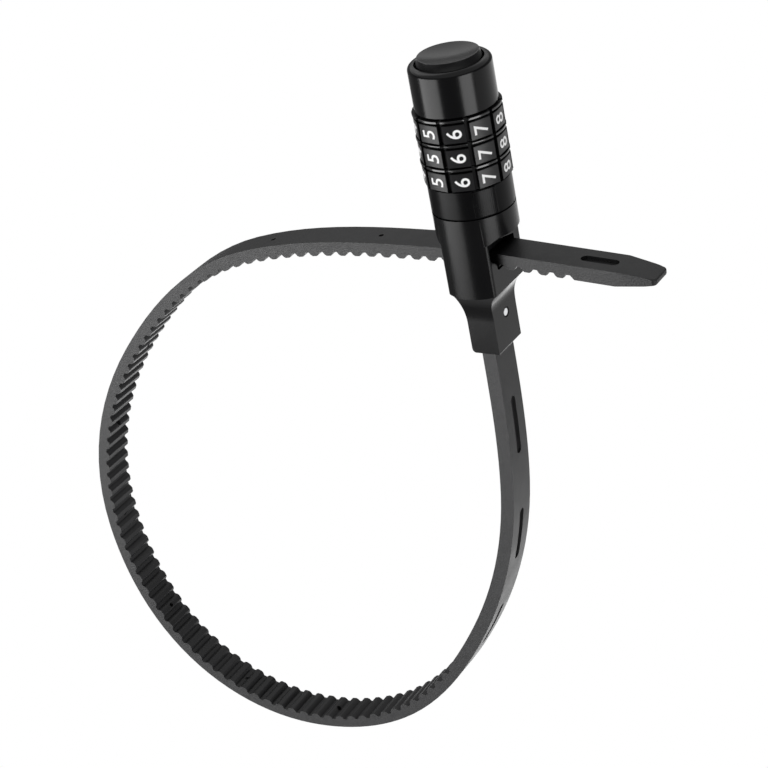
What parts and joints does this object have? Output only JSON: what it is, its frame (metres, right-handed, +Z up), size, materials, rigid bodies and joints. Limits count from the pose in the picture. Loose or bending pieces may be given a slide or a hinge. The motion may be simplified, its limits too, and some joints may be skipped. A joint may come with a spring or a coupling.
{
  "type": "combination strap lock",
  "caption": "Ratchet strap with a steel core closed in a loop through a cylindrical head with digit dials and a push button release.",
  "frame": {"origin": "point where the head's axis crosses the middle of the strap that passes through the head", "axes": "+Z up the head's axis to the push button, +X the way the strap's free end comes out of the head, Y along the strap's width; the loop hangs in the XZ plane on the -X side"},
  "size_m": [0.1763, 0.0204, 0.1961],
  "materials": {
    "strap_nylon": "fine grain, satin",
    "core_steel": "rolled spring band",
    "gloss_black_cast": "smooth semi-gloss coating on die-cast zinc",
    "satin_black_cast": "satin coating on die-cast zinc",
    "dial_black": "satin coating, bright flange edge, white digits",
    "button_black": "satin gloss",
    "pin_steel": "ground end",
    "hard_steel": "hardened, machined",
    "spring_steel": "drawn wire and strip",
    "screw_steel": "zinc plated",
    "zinc_cast": "raw die casting",
    "wheel_brass": "turned",
    "washer_nylon": "natural nylon"
  },
  "bodies": {
    "lock_body": {"strap": "strap_nylon", "strap_core": "core_steel", "lower_housing": "gloss_black_cast", "strap_pin": "pin_steel", "pawl_spring": "spring_steel", "core_tube": "zinc_cast", "index_collar": "satin_black_cast", "index_plate": "satin_black_cast", "collar_screws": "screw_steel", "click_spring": "spring_steel", "dial_washers": "washer_nylon", "cap_base": "zinc_cast", "retaining_ring": "spring_steel", "cap": "gloss_black_cast", "button_spring": "spring_steel"},
    "top_dial": {"dial_1": "dial_black", "code_wheel_1": "wheel_brass"},
    "middle_dial": {"dial_2": "dial_black", "code_wheel_2": "wheel_brass"},
    "bottom_dial": {"dial_3": "dial_black", "code_wheel_3": "wheel_brass"},
    "plunger": {"push_button": "button_black", "spindle": "hard_steel", "release_fork": "hard_steel"},
    "ratchet_pawl": {"pawl": "hard_steel"}
  },
  "joints": [
    {"name": "turn_top_dial", "type": "hinge", "parent": "lock_body", "child": "top_dial", "pos_m": [0, 0, 0.03263], "axis": [0, 0, 1], "continuous": true},
    {"name": "turn_middle_dial", "type": "hinge", "parent": "lock_body", "child": "middle_dial", "pos_m": [0, 0, 0.02693], "axis": [0, 0, 1], "continuous": true},
    {"name": "turn_bottom_dial", "type": "hinge", "parent": "lock_body", "child": "bottom_dial", "pos_m": [0, 0, 0.02123], "axis": [0, 0, 1], "continuous": true},
    {"name": "press_button", "type": "slide", "parent": "lock_body", "child": "plunger", "axis": [0, 0, -1], "range_m": [0, 0.0016], "stiffness_N_per_m": 1500, "springref_m": -0.002, "deforming": ["button_spring"]},
    {"name": "lower_pawl", "type": "slide", "parent": "lock_body", "child": "ratchet_pawl", "axis": [0, 0, -1], "range_m": [0, 0.0015], "stiffness_N_per_m": 500, "springref_m": -0.002, "deforming": ["pawl_spring"]}
  ],
  "couplings": [
    {"joint": "lower_pawl", "follows": "press_button", "ratio": 0.9}
  ]
}
